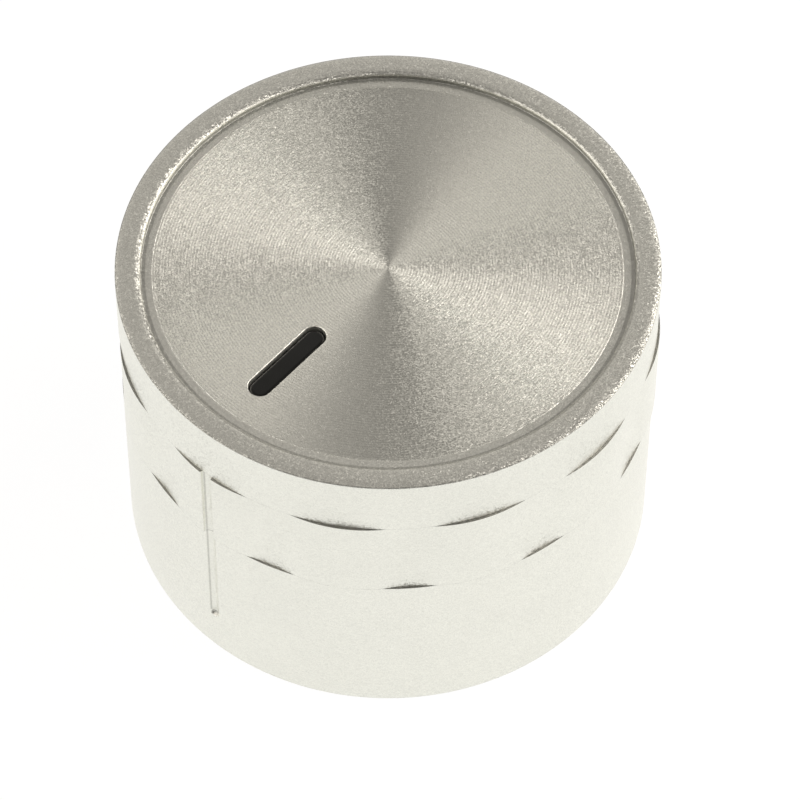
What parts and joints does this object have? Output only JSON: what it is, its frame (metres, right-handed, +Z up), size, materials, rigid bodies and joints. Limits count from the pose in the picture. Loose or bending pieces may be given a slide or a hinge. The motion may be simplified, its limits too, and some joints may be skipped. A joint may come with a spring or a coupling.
{
  "type": "stove knob",
  "caption": "Push-on control knob with a recessed turned face, a black pointer bar, a fluted grip and a slit hub for a D-shaped spindle.",
  "frame": {"origin": "centre of the skirt's lower edge, on the spindle axis", "axes": "+Z up along the spindle axis towards the face, pointer towards -Y"},
  "size_m": [0.0448, 0.0448, 0.0308],
  "materials": {
    "silver_paint": "moulded plastic sprayed in silver paint with fine metallic flake",
    "gloss_black": "polished black plastic",
    "hub_plastic": "matt black glass-filled plastic",
    "spring_steel": "rolled spring steel strip"
  },
  "bodies": {
    "root": {"outer_shell": "silver_paint", "indicator_bar": "gloss_black", "inner_hub": "hub_plastic", "spindle_spring": "spring_steel"}
  },
  "joints": []
}
